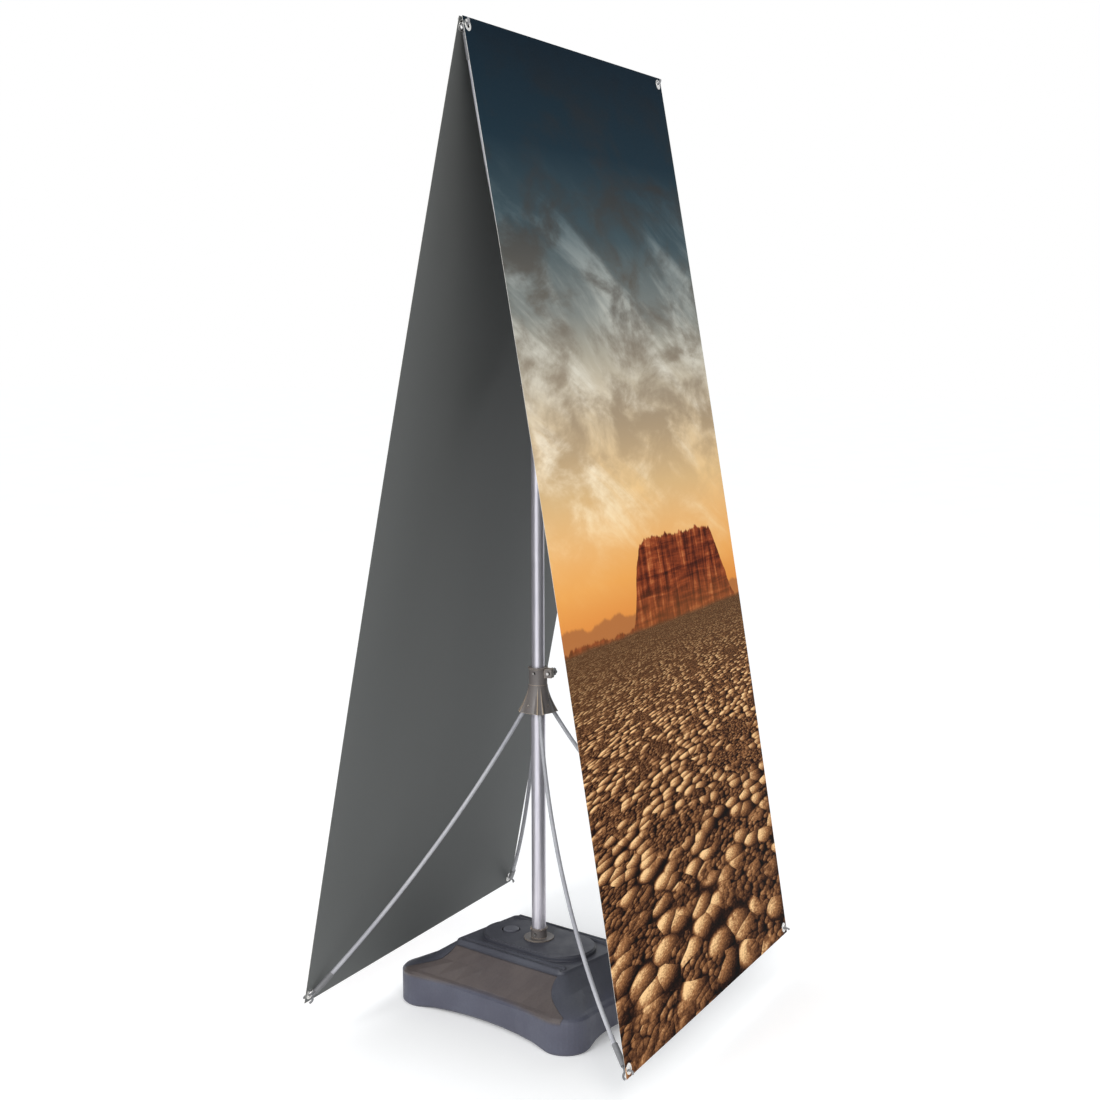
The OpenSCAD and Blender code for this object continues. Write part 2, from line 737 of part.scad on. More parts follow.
// Closed body of the base, drawn in by shrink on every side
module base_shell(shrink) {
    rings = [
        base_ring(shrink, foot_w + shrink, 0, arch_h, 0),
        base_ring(shrink, edge_r + shrink, 0, arch_h, 0),
        base_ring(edge_r, shrink, 0, arch_h, 0),
        base_ring(side_h, shrink, 0, 0, lobe_rise),
        base_ring(side_h + edge_r - shrink, edge_r + shrink, 0, 0, lobe_rise),
        base_ring(shoulder_z - shrink, shoulder_w + shrink, 0, 0, lobe_rise),
        base_ring((shoulder_z + deck_z) / 2 - shrink * slope_share,
            shoulder_w * (1 - slope_blend_share) + shrink, slope_blend_share, 0, 0),
        base_ring(deck_z - edge_r - shrink, shrink, 1, 0, 0),
        base_ring(deck_z - shrink, edge_r / 2 + shrink, 1, 0, 0)
    ];
    n = len(rings[0]);
    m = len(rings);
    low = [0, 0, arch_h + shrink];
    high = [0, 0, deck_z - shrink];
    points = concat([for (r = rings) each r], [low, high]);
    walls = [for (k = [0:m - 2]) for (i = [0:n - 1])
        let (a = k * n + i, b = k * n + (i + 1) % n) each [[a, b + n, b], [a, a + n, b + n]]];
    floor = [for (i = [0:n - 1]) [i, (i + 1) % n, n * m]];
    lid = [for (i = [0:n - 1]) [(m - 1) * n + (i + 1) % n, (m - 1) * n + i, n * m + 1]];
    polyhedron(points, concat(walls, floor, lid));
}

// Well for the mast, neck of the filler and the raised forms of the deck
pad_z = deck_z + pad_h;
// Filler's bore, against its cap
neck_share = 0.66;
neck_bore = cap_d * neck_share;
neck_wall = 4;
neck_depth = 16;
recess_depth = 6;
recess_gap = 2;
bead_d = 9;
rim_bead_d = 6;
rim_bead_x = (deck_w - rim_bead_d) / 2 - edge_r / 2;
bead_x = rim_bead_x - rim_bead_d - bead_d;
bead_l = deck_l - 3 * bead_d;
seal_t = 1.6;

module pad_outline(inset) {
    offset_y = (pad_l - pad_w) / 2;
    for (s = [-1, 1])
        translate([0, s * offset_y])
            circle(d = pad_w - 2 * inset);
    square([pad_w - 2 * inset, 2 * offset_y], center = true);
}

module bead(x, d) {
    translate([x, 0, deck_z]) {
        rotate([90, 0, 0])
            cylinder(d = d, h = bead_l, center = true, $fn = 32);
        for (s = [-1, 1])
            translate([0, s * bead_l / 2, 0])
                sphere(d = d, $fn = 32);
    }
}

module base_tank() {
    color(plastic_dark)
        rotate([0, 0, base_turn])
            difference() {
                union() {
                    difference() {
                        base_shell(0);
                        base_shell(tank_wall);
                    }
                    translate([0, 0, deck_z - tank_wall])
                        linear_extrude(height = pad_h + tank_wall - edge_r / 2)
                            pad_outline(0);
                    translate([0, 0, deck_z])
                        linear_extrude(height = pad_h)
                            pad_outline(edge_r / 2);
                    for (s = [-1, 1]) {
                        bead(s * bead_x, bead_d);
                        bead(s * rim_bead_x, rim_bead_d);
                    }
                    cylinder(d = spigot_d + 2 * tank_wall, h = pad_z - overrun);
                    translate([0, cap_back, pad_z - recess_depth - neck_depth])
                        cylinder(d = neck_bore + 2 * neck_wall, h = neck_depth);
                }
                translate([0, 0, well_floor])
                    cylinder(d = spigot_d + 2 * fit_gap, h = pad_z - well_floor + overrun);
                translate([0, cap_back, pad_z - recess_depth - neck_depth - overrun])
                    cylinder(d = neck_bore, h = neck_depth + recess_depth + 2 * overrun);
                translate([0, cap_back, pad_z - recess_depth])
                    cylinder(d = cap_d + 2 * recess_gap, h = recess_depth + overrun);
                translate([0, cap_back + recess_gap, pad_z - recess_depth])
                    cylinder(d = cap_d + 2 * recess_gap, h = recess_depth + overrun);
            }
}

// Filler cap: a disc on a threaded stem, with a seal under the disc
cap_t = 7;
cap_bevel = 1.2;
stem_h = 13;
module at_filler() {
    rotate([0, 0, base_turn])
        translate([0, cap_back, pad_z - recess_depth])
            children();
}

module filler_cap() {
    color(plastic_dark)
        at_filler() {
            translate([0, 0, seal_t])
                cylinder(d = cap_d, h = cap_t - cap_bevel);
            translate([0, 0, seal_t + cap_t - cap_bevel])
                cylinder(d1 = cap_d, d2 = cap_d - 2 * cap_bevel, h = cap_bevel);
            translate([0, 0, seal_t - stem_h])
                cylinder(d = neck_bore - 2 * run_gap, h = stem_h + overrun);
        }
}

module cap_seal() {
    color(rubber_black)
        at_filler()
            difference() {
                cylinder(d = cap_d - seal_t, h = seal_t);
                translate([0, 0, -overrun])
                    cylinder(d = neck_bore + 2 * seat_gap, h = seal_t + 2 * overrun);
            }
}

// Flange: a disc on the pad, a spigot in the well and a collar round the mast
flange_t = 2.5;
spigot_len = 40;
flange_collar_d = lower_tube_d + 4;
flange_rim_d = lower_tube_d + 7;
flange_rim_t = 3;
// Notches in the collar's rim, on either side of its screw
notch_turn = 140;
notch_w = 4;
notch_depth = 2.2;
flange_screw_z = pad_z + flange_t + (flange_h - flange_t - flange_rim_t) * 0.5;

module mast_flange() {
    color(plastic_taupe)
        difference() {
            union() {
                translate([0, 0, pad_z])
                    cylinder(d = flange_d, h = flange_t);
                translate([0, 0, pad_z - spigot_len])
                    cylinder(d = spigot_d, h = spigot_len + overrun);
                translate([0, 0, pad_z])
                    cylinder(d = flange_collar_d, h = flange_h);
                translate([0, 0, pad_z + flange_h - flange_rim_t])
                    cylinder(d = flange_rim_d, h = flange_rim_t);
            }
            translate([0, 0, pad_z - spigot_len - overrun])
                cylinder(d = lower_tube_d + 2 * fit_gap, h = spigot_len + flange_h + 2 * overrun);
            side_screw_hole(flange_collar_d / 2, flange_screw_z);
            for (turn = [notch_turn, -notch_turn])
                rotate([0, 0, turn])
                    translate([0, -notch_w / 2, pad_z + flange_h - notch_depth])
                        cube([flange_rim_d, notch_w, notch_depth + overrun]);
        }
}

module flange_screw() {
    side_screw(flange_collar_d / 2, flange_screw_z, lower_tube_d / 2);
}

module lower_pin(arm) {
    color(metal_bright)
        translate([0, 0, lower_rim_z])
            pin(arm, lower_pivot_rise, 0, pin_open);
}

module upper_pin(arm) {
    color(metal_bright)
        translate([0, 0, upper_rim_z])
            mirror([0, 0, 1])
                pin(arm, upper_pivot_rise, 0, pin_open);
}

module lower_eyelet(front, side) {
    eyelet(lower_eye(front, side), front ? front_out : rear_out);
}

base_tank();
filler_cap();
cap_seal();
mast_flange();
flange_screw();
lower_mast_tube();
lower_tube_plug();
upper_mast_tube();
mast_bush();
mast_top_cap();
lower_hub();
lower_hub_screw();
clamp_bolt();
clamp_washer();
clamp_knob();
upper_hub();
upper_hub_screw();
lower_pin(front_left);  // front_left_pin
knuckle(front_left);  // front_left_knuckle
rod(front_left);  // front_left_rod
sleeve(front_left);  // front_left_sleeve
tines(front_left);  // front_left_tines
lower_pin(front_right);  // front_right_pin
knuckle(front_right);  // front_right_knuckle
rod(front_right);  // front_right_rod
sleeve(front_right);  // front_right_sleeve
tines(front_right);  // front_right_tines
lower_pin(rear_left);  // rear_left_pin
knuckle(rear_left);  // rear_left_knuckle
rod(rear_left);  // rear_left_rod
sleeve(rear_left);  // rear_left_sleeve
tines(rear_left);  // rear_left_tines
lower_pin(rear_right);  // rear_right_pin
knuckle(rear_right);  // rear_right_knuckle
rod(rear_right);  // rear_right_rod
sleeve(rear_right);  // rear_right_sleeve
tines(rear_right);  // rear_right_tines
upper_pin(top_left);  // top_left_pin
knuckle(top_left);  // top_left_knuckle
rod(top_left);  // top_left_rod
sleeve(top_left);  // top_left_sleeve
tines(top_left);  // top_left_tines
upper_pin(top_right);  // top_right_pin
knuckle(top_right);  // top_right_knuckle
rod(top_right);  // top_right_rod
sleeve(top_right);  // top_right_sleeve
tines(top_right);  // top_right_tines
lower_eyelet(true, -1);  // low_front_left_eyelet
lower_eyelet(true, 1);  // low_front_right_eyelet
lower_eyelet(false, -1);  // low_rear_left_eyelet
lower_eyelet(false, 1);  // low_rear_right_eyelet
eyelet(top_front_eye(-1), front_out);  // top_front_left_eyelet
eyelet(top_front_eye(1), front_out);  // top_front_right_eyelet
eyelet(top_rear_eye(-1), rear_out);  // top_rear_left_eyelet
eyelet(top_rear_eye(1), rear_out);  // top_rear_right_eyelet
banner(front_low, front_up, front_out);  // front_banner
banner(rear_low, rear_up, rear_out);  // rear_banner
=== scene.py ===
"""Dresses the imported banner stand: film, moulded base, metal rings, materials, light and camera."""
import json
import math

import bpy
import numpy as np
from mathutils import Matrix, Vector

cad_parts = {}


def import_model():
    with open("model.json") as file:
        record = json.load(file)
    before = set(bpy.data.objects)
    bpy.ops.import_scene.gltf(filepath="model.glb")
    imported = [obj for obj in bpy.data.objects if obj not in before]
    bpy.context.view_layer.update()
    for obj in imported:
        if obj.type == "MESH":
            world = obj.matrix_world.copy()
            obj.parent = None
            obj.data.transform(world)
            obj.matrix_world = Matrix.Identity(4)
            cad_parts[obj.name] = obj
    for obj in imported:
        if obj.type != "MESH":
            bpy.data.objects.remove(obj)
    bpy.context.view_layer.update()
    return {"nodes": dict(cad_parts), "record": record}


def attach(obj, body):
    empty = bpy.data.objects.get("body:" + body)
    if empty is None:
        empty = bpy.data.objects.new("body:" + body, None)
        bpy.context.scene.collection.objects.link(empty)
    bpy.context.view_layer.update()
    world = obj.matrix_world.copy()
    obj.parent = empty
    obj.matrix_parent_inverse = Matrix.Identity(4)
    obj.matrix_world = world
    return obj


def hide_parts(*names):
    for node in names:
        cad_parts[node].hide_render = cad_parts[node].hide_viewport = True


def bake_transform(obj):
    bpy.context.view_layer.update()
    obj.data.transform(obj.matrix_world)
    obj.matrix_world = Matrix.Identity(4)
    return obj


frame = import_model()
NODES = frame["nodes"]

# Sizes in metres, as the part's source has them
BANNER_W, BANNER_H, FILM_T = 0.8, 1.8, 0.0005
FOOT_GAP, FRONT_SPREAD, REAR_SPREAD, APEX_LEAD, APEX_GAP = 0.077, 0.380, 0.286, 0.072, 0.006
EYE_INSET, EYE_R, EYE_BORE_R, EYE_T = 0.014, 0.010, 0.005, 0.002
FILM_BOW = 0.006
BASE_TURN = math.radians(-12.5)
HUB_TURN, RIB_OFF = math.radians(34), math.radians(9)


# Helpers
def srgb(*c):
    """Linear colour from 0-255 screen values."""
    out = []
    for v in c:
        v /= 255
        out.append(v / 12.92 if v <= 0.04045 else ((v + 0.055) / 1.055) ** 2.4)
    return (*out, 1.0)


def new_object(name, verts, faces, mats, mat_index=None, uvs=None, smooth=True):
    """A mesh object from plain lists; uvs holds one pair for each vertex."""
    mesh = bpy.data.meshes.new(name)
    mesh.from_pydata([tuple(map(float, v)) for v in verts], [], [tuple(map(int, f)) for f in faces])
    for m in mats:
        mesh.materials.append(m)
    if mat_index is not None:
        mesh.polygons.foreach_set("material_index", np.asarray(mat_index, np.int32))
    if uvs is not None:
        layer = mesh.uv_layers.new(name="UVMap")
        loops = np.zeros(len(mesh.loops), np.int32)
        mesh.loops.foreach_get("vertex_index", loops)
        layer.data.foreach_set("uv", np.asarray(uvs, np.float32)[loops].ravel())
    mesh.polygons.foreach_set("use_smooth", np.full(len(mesh.polygons), smooth, bool))
    mesh.validate()
    mesh.update()
    obj = bpy.data.objects.new(name, mesh)
    bpy.context.scene.collection.objects.link(obj)
    return obj


class Graph:
    """Short calls for building one material's nodes."""

    def __init__(self, name):
        self.mat = bpy.data.materials.new(name)
        self.mat.use_nodes = True
        self.tree = self.mat.node_tree
        self.tree.nodes.clear()
        self.out = self.tree.nodes.new("ShaderNodeOutputMaterial")

    @classmethod
    def on(cls, mat):
        """The graph of a material that is built already."""
        g = cls.__new__(cls)
        g.mat, g.tree = mat, mat.node_tree
        return g

    def node(self, kind, inputs=None, out=0, **props):
        n = self.tree.nodes.new("ShaderNode" + kind)
        for k, v in props.items():
            setattr(n, k, v)
        for k, v in (inputs or {}).items():
            self.put(n.inputs[k], v)
        return n.outputs[out] if out is not None else n

    def put(self, socket, value):
        if isinstance(value, bpy.types.NodeSocket):
            self.tree.links.new(value, socket)
        elif value is not None:
            socket.default_value = value

    def math(self, op, a, b=None, c=None, clamp=False):
        n = self.tree.nodes.new("ShaderNodeMath")
        n.operation, n.use_clamp = op, clamp
        for i, v in enumerate((a, b, c)):
            if v is not None:
                self.put(n.inputs[i], v)
        return n.outputs[0]

    def mix(self, fac, a, b, blend="MIX"):
        n = self.tree.nodes.new("ShaderNodeMix")
        n.data_type, n.blend_type = "RGBA", blend
        self.put(n.inputs[0], fac)
        self.put(n.inputs[6], a)
        self.put(n.inputs[7], b)
        return n.outputs[2]

    def range(self, value, lo, hi, to_lo=0.0, to_hi=1.0, smooth=True):
        return self.node("MapRange", {0: value, 1: lo, 2: hi, 3: to_lo, 4: to_hi},
                         interpolation_type="SMOOTHSTEP" if smooth else "LINEAR")

    def noise(self, vec, scale, detail=4.0, rough=0.5, distort=0.0):
        return self.node("TexNoise", {"Vector": vec, "Scale": scale, "Detail": detail,
                                      "Roughness": rough, "Distortion": distort})

    def xyz(self, x, y, z=0.0):
        return self.node("CombineXYZ", {0: x, 1: y, 2: z})

    def ramp(self, fac, stops, mode="LINEAR"):
        n = self.tree.nodes.new("ShaderNodeValToRGB")
        n.color_ramp.interpolation = mode
        el = n.color_ramp.elements
        while len(el) < len(stops):
            el.new(0.5)
        for e, (pos, col) in zip(el, stops):
            e.position, e.color = pos, col
        self.put(n.inputs[0], fac)
        return n.outputs[0]

    def coords(self, kind="Object"):
        return self.node("TexCoord", out=None).outputs[kind]

    def stretch(self, vec, scale):
        return self.node("Mapping", {"Vector": vec, "Scale": scale})

    def bump(self, height, strength, distance, under=None):
        ins = {"Height": height, "Strength": strength, "Distance": distance}
        if under is not None:
            ins["Normal"] = under
        return self.node("Bump", ins)

    def principled(self, **ins):
        n = self.node("BsdfPrincipled", out=None)
        for k, v in ins.items():
            self.put(n.inputs[k.replace("_", " ")], v)
        self.tree.links.new(n.outputs[0], self.out.inputs[0])
        return self.mat


# Materials
def moulded(name, light, dark, rough=0.5, grain=900.0, depth=0.00008, edge=None, round_by=0.0006, wear_and_highlight=0.6):
    """Moulded plastic: spark-eroded grain, slow colour change, softened edges, and edges lightened partly by wear
    and partly by painted highlight.
    """
    g = Graph(name)
    pos = g.coords()
    slow = g.noise(pos, 9.0, 3.0)
    fleck = g.noise(pos, 260.0, 2.0, 0.6)
    colour = g.mix(g.range(slow, 0.35, 0.65), dark, light)
    colour = g.mix(g.range(fleck, 0.3, 0.75, 0.0, 0.2), colour, tuple(0.6 * v for v in dark[:3]) + (1,))
    soft = g.node("Bevel", {"Radius": round_by}, samples=6)
    if edge is not None:
        # edges lightened to the edge colour: painted highlight, partly wear too
        colour = g.mix(g.math("MULTIPLY", edges(g, round_by * 1.6), wear_and_highlight), colour, edge)
    r = g.range(g.noise(pos, 40.0, 4.0), 0.3, 0.7, rough - 0.06, rough + 0.08)
    b = g.bump(g.noise(pos, grain, 2.0, 0.55), 0.35, depth, under=soft)
    b = g.bump(g.noise(pos, 70.0, 3.0), 0.12, 0.0004, under=b)
    return g.principled(Base_Color=colour, Roughness=r, Normal=b)


def edges(g, radius):
    """From 0 on smooth faces to 1 on sharp edges."""
    soft = g.node("Bevel", {"Radius": radius}, samples=6)
    true = g.node("NewGeometry", out=None).outputs["Normal"]
    n = g.node("VectorMath", {0: soft, 1: true}, out=None, operation="DOT_PRODUCT")
    return g.range(n.outputs["Value"], 0.995, 0.86)


def base_material():
    """The tank's slate plastic, with painted light: the flat panels of its long sides painted browner as warm light
    falls on them, the side walls painted lighter and bluer.
    """
    g = Graph("base_plastic")
    pos = g.node("NewGeometry", out=None).outputs["Position"]
    turned = g.node("VectorRotate", {"Vector": pos, "Angle": -BASE_TURN}, rotation_type="Z_AXIS")
    sep = g.node("SeparateXYZ", {0: turned}, out=None)
    u, v, z = g.math("ABSOLUTE", sep.outputs[0]), g.math("ABSOLUTE", sep.outputs[1]), sep.outputs[2]
    flare = g.math("POWER", g.math("DIVIDE", g.math("SUBTRACT", u, 0.104), 0.066, clamp=True), 2.2)
    half = g.math("MULTIPLY_ADD", flare, 0.072, 0.132)
    panel = g.range(g.math("SUBTRACT", v, half), 0.0015, -0.0015)
    panel = g.math("MULTIPLY", panel, g.range(u, 0.1, 0.103))
    panel = g.math("MULTIPLY", panel, g.range(z, 0.058, 0.067))
    slow = g.noise(pos, 9.0, 3.0)
    fleck = g.noise(pos, 240.0, 2.0, 0.6)
    # painted light: the side walls lighter and bluer than the deck, as lit from the front
    painted_wall_light = g.range(z, 0.085, 0.062)
    colour = g.mix(g.range(slow, 0.35, 0.65), srgb(70, 71, 80), srgb(78, 80, 89))
    colour = g.mix(painted_wall_light, colour, g.mix(g.range(slow, 0.35, 0.65), srgb(80, 81, 95), srgb(88, 90, 104)))
    # painted warm light: the flat panels of the long sides browner; the same mask gives their crease in the bump
    # below
    colour = g.mix(panel, colour, g.mix(g.range(slow, 0.3, 0.7), srgb(88, 80, 79), srgb(99, 90, 87)))
    colour = g.mix(g.range(fleck, 0.35, 0.75, 0.0, 0.16), colour, srgb(52, 52, 60))
    # painted highlight, partly wear too: sharp edges lightened towards pale grey
    colour = g.mix(g.math("MULTIPLY", edges(g, 0.0012), 0.3), colour, srgb(128, 122, 118))
    soft = g.node("Bevel", {"Radius": 0.003}, samples=6)
    b = g.bump(panel, 1.0, 0.0016, under=soft)
    b = g.bump(g.noise(pos, 700.0, 2.0, 0.55), 0.35, 0.0001, under=b)
    b = g.bump(g.noise(pos, 34.0, 3.0), 0.14, 0.0009, under=b)
    r = g.range(g.noise(pos, 40.0, 4.0), 0.3, 0.7, 0.46, 0.6)
    return g.principled(Base_Color=colour, Roughness=r, Normal=b)


def hub_material():
    """Taupe plastic, edges lightened by painted highlight and wear; the ribs beside the lower hub's arms carry a
    painted cream highlight.
    """
    mat = moulded("hub_plastic", srgb(126, 119, 115), srgb(107, 101, 99), 0.4, edge=srgb(224, 202, 172), wear_and_highlight=0.85)
    g = Graph.on(mat)
    sep = g.node("SeparateXYZ", {0: g.node("NewGeometry", out=None).outputs["Position"]}, out=None)
    turn = g.math("SUBTRACT", g.math("ARCTAN2", sep.outputs[1], sep.outputs[0]), HUB_TURN - math.pi / 4)
    off = g.math("ABSOLUTE", g.math("SUBTRACT", g.math("FLOORED_MODULO", turn, math.pi / 2), math.pi / 4))
    away = g.math("ABSOLUTE", g.math("SUBTRACT", off, RIB_OFF))
    # painted cream highlight along the ribs beside each arm
    painted_rib_highlight = g.math("MULTIPLY", g.range(away, math.radians(2.4), math.radians(0.9)),
                 g.math("MULTIPLY", g.range(sep.outputs[2], 0.594, 0.597), g.range(sep.outputs[2], 0.650, 0.625)))
    shader = next(n for n in g.tree.nodes if n.type == "BSDF_PRINCIPLED")
    under = shader.inputs["Base Color"].links[0].from_socket
    g.put(shader.inputs["Base Color"], g.mix(g.math("MULTIPLY", painted_rib_highlight, 0.75), under, srgb(214, 190, 158)))
    return mat


def drawn_metal(name, light, dark, rough=0.32, metallic=0.85, along=(1.0, 1.0, 0.02)):
    """Drawn or brushed metal: fine lines along the tube and faint handling marks."""
    g = Graph(name)
    pos = g.coords()
    lines = g.noise(g.stretch(pos, along), 900.0, 3.0, 0.6)
    marks = g.noise(pos, 14.0, 5.0, 0.6)
    colour = g.mix(g.range(lines, 0.3, 0.7), dark, light)
    colour = g.mix(g.range(marks, 0.5, 0.75, 0.0, 0.25), colour, tuple(0.8 * v for v in light[:3]) + (1,))
    r = g.range(marks, 0.3, 0.7, rough - 0.05, rough + 0.1)
    b = g.bump(lines, 0.12, 0.00005)
    return g.principled(Base_Color=colour, Roughness=r, Metallic=metallic, Normal=b)


def stones(g, vec, scale, light):
    """Round stones in a plane: how lit each point is, and a value for each stone."""
    cell = g.node("TexVoronoi", {"Vector": vec, "Scale": scale, "Randomness": 0.95}, out=None, feature="F1",
                  voronoi_dimensions="2D")
    at = g.node("VectorMath", {0: vec, 1: cell.outputs["Position"]}, out=0, operation="SUBTRACT")
    lean = g.node("VectorMath", {0: at, 1: light}, out=None, operation="DOT_PRODUCT")
    far = g.math("MULTIPLY", cell.outputs["Distance"], 1.15)
    dome = g.math("SQRT", g.math("SUBTRACT", 1.0, g.math("MULTIPLY", far, far), clamp=True))
    lit = g.math("ADD", g.math("MULTIPLY", lean.outputs["Value"], scale * 0.75), g.math("MULTIPLY", dome, 0.55))
    own = g.node("SeparateColor", {0: cell.outputs["Color"]}, out=None)
    return g.math("MULTIPLY", lit, g.range(far, 1.0, 0.62)), own.outputs[0]


def print_material():
    """Outer face of a banner: an invented stony plain and tableland under a clearing sky."""
    g = Graph("banner_print")
    uv = g.node("UVMap", out=0, uv_map="UVMap")
    sep = g.node("SeparateXYZ", {0: uv}, out=None)
    x, y = sep.outputs[0], sep.outputs[1]
    horizon = 0.405
    t = g.math("DIVIDE", g.math("SUBTRACT", y, horizon), 1 - horizon, clamp=True)
    px = g.math("MULTIPLY", x, 0.8)
    py = g.math("MULTIPLY", y, 1.8)
    # sky
    sky = g.ramp(t, [
        (0.0, srgb(226, 150, 78)), (0.09, srgb(238, 178, 104)), (0.24, srgb(238, 206, 156)),
        (0.40, srgb(214, 202, 180)), (0.54, srgb(142, 146, 142)), (0.67, srgb(84, 100, 106)),
        (0.82, srgb(42, 64, 76)), (1.0, srgb(27, 48, 61))])
    lean = g.math("MULTIPLY_ADD", px, 0.5, py)
    streak = g.noise(g.xyz(g.math("MULTIPLY", px, 1.6), g.math("MULTIPLY", lean, 5.0)), 1.5, 9.0, 0.62, 0.5)
    puff = g.noise(g.xyz(px, g.math("MULTIPLY", py, 1.7), 3.7), 5.0, 9.0, 0.6, 0.3)
    cloud = g.math("MULTIPLY", g.range(streak, 0.42, 0.66), g.range(puff, 0.34, 0.6))
    band = g.math("MULTIPLY", g.range(t, 0.04, 0.25), g.range(t, 0.84, 0.5))
    pale = g.ramp(t, [(0.0, srgb(255, 224, 160)), (0.35, srgb(246, 238, 222)), (0.7, srgb(146, 158, 160)),
                      (1.0, srgb(60, 76, 88))])
    sky = g.mix(g.math("MULTIPLY", cloud, band), sky, pale)
    murk = g.math("MULTIPLY", g.range(puff, 0.6, 0.36), g.range(t, 0.12, 0.4))
    sky = g.mix(g.math("MULTIPLY", murk, 0.55), sky, g.mix(t, srgb(150, 122, 92), srgb(22, 40, 52)))
    # far hills and a tableland
    ridge = g.noise(g.xyz(px, 1.3), 7.0, 5.0, 0.55)
    far = g.math("MULTIPLY_ADD", ridge, 0.05, horizon - 0.008)
    table = g.math("MULTIPLY", g.range(x, 0.34, 0.45), g.range(x, 0.98, 0.84))
    crag = g.noise(g.xyz(g.math("MULTIPLY", px, 5.0), 7.9), 6.0, 6.0, 0.6)
    top = g.math("MULTIPLY_ADD", table, 0.085, g.math("MULTIPLY_ADD", crag, 0.03, horizon - 0.014))
    strata = g.noise(g.xyz(g.math("MULTIPLY", px, 3.0), g.math("MULTIPLY", py, 26.0)), 2.2, 8.0, 0.65, 0.4)
    flute = g.noise(g.xyz(g.math("MULTIPLY", px, 34.0), g.math("MULTIPLY", py, 4.0)), 1.6, 6.0, 0.65, 0.6)
    rock = g.ramp(g.math("MULTIPLY_ADD", flute, 0.55, g.math("MULTIPLY", strata, 0.45)), [
        (0.36, srgb(44, 22, 15)), (0.46, srgb(104, 50, 32)), (0.55, srgb(160, 84, 50)), (0.66, srgb(222, 150, 98))])
    haze = g.range(y, horizon + 0.05, horizon - 0.01)
    rock = g.mix(g.math("MULTIPLY", haze, 0.45), rock, srgb(168, 112, 66))
    back = g.range(g.math("SUBTRACT", y, far), 0.002, -0.002)
    front = g.range(g.math("SUBTRACT", y, top), 0.0012, -0.0012)
    sky = g.mix(back, sky, srgb(190, 130, 80))
    sky = g.mix(front, sky, rock)
    # plain of round stones, in perspective
    d = g.math("MAXIMUM", g.math("SUBTRACT", horizon, y), 0.0)
    near = g.math("DIVIDE", 1.0, g.math("ADD", d, 0.03))
    gx = g.math("MULTIPLY", g.math("SUBTRACT", x, 0.44), near)
    plain = g.xyz(gx, g.math("MULTIPLY", near, 1.9))
    stir = g.node("TexNoise", {"Vector": plain, "Scale": 1.6, "Detail": 2.0}, out=1)
    shift = g.node("VectorMath", {0: stir, "Scale": 0.16}, operation="SCALE")
    moved = g.node("VectorMath", {0: plain, 1: shift}, operation="ADD")
    sun = (-0.82, 0.57, 0.0)
    big, own = stones(g, moved, 3.4, sun)
    small, own_small = stones(g, moved, 11.0, sun)
    bend = g.noise(plain, 0.7, 4.0, 0.55)
    speck = g.noise(plain, 34.0, 6.0, 0.7)
    gravel = g.math("MULTIPLY_ADD", own_small, 0.25, g.math("MULTIPLY_ADD", small, 0.55, 0.05))
    lone = g.math("MULTIPLY", g.range(own, 0.30, 0.36), g.range(bend, 0.34, 0.5))
    tone = g.math("MULTIPLY_ADD", own, 0.22, g.math("MULTIPLY_ADD", big, 0.85, 0.06))
    tone = g.node("Mix", {0: lone, 2: gravel, 3: tone}, data_type="FLOAT")
    tone = g.math("ADD", tone, g.range(speck, 0.25, 0.75, -0.2, 0.2, smooth=False))
    ground = g.ramp(tone, [
        (0.10, srgb(10, 5, 3)), (0.30, srgb(58, 34, 22)), (0.50, srgb(116, 80, 54)), (0.70, srgb(176, 130, 90)),
        (0.92, srgb(255, 218, 166))])
    ground = g.mix(g.range(d, 0.0, 0.10, 0.7, 0.0), ground, srgb(104, 76, 52))
    edge = g.range(g.math("MULTIPLY_ADD", ridge, 0.01, g.math("SUBTRACT", y, horizon)), 0.0, 0.006)
    colour = g.node("Gamma", {0: g.mix(edge, ground, sky), 1: 1.22})
    # woven polyester under the ink
    wave = g.noise(g.coords(), 700.0, 1.0)
    b = g.bump(wave, 0.1, 0.00006)
    return g.principled(Base_Color=colour, Roughness=g.range(wave, 0.3, 0.7, 0.6, 0.72), Normal=b,
                        Specular_IOR_Level=0.03)


def film_back():
    """Grey light-blocking back of a banner, with its fine weave and faint roll marks."""
    g = Graph("banner_back")
    pos = g.coords()
    slow = g.noise(g.stretch(pos, (0.6, 0.6, 0.25)), 5.0, 3.0)
    weave = g.noise(pos, 650.0, 2.0)
    colour = g.mix(g.range(slow, 0.3, 0.7), srgb(107, 109, 108), srgb(113, 115, 114))
    colour = g.mix(g.range(weave, 0.35, 0.7, 0.0, 0.12), colour, srgb(90, 92, 91))
    b = g.bump(weave, 0.12, 0.00005)
    return g.principled(Base_Color=colour, Roughness=g.range(slow, 0.3, 0.7, 0.6, 0.7), Normal=b,
                        Specular_IOR_Level=0.3)


def film_edge():
    g = Graph("banner_edge")
    lint = g.noise(g.coords(), 300.0, 2.0)
    colour = g.mix(g.range(lint, 0.3, 0.7), srgb(176, 174, 168), srgb(206, 204, 198))
    return g.principled(Base_Color=colour, Roughness=g.range(lint, 0.3, 0.7, 0.6, 0.8))


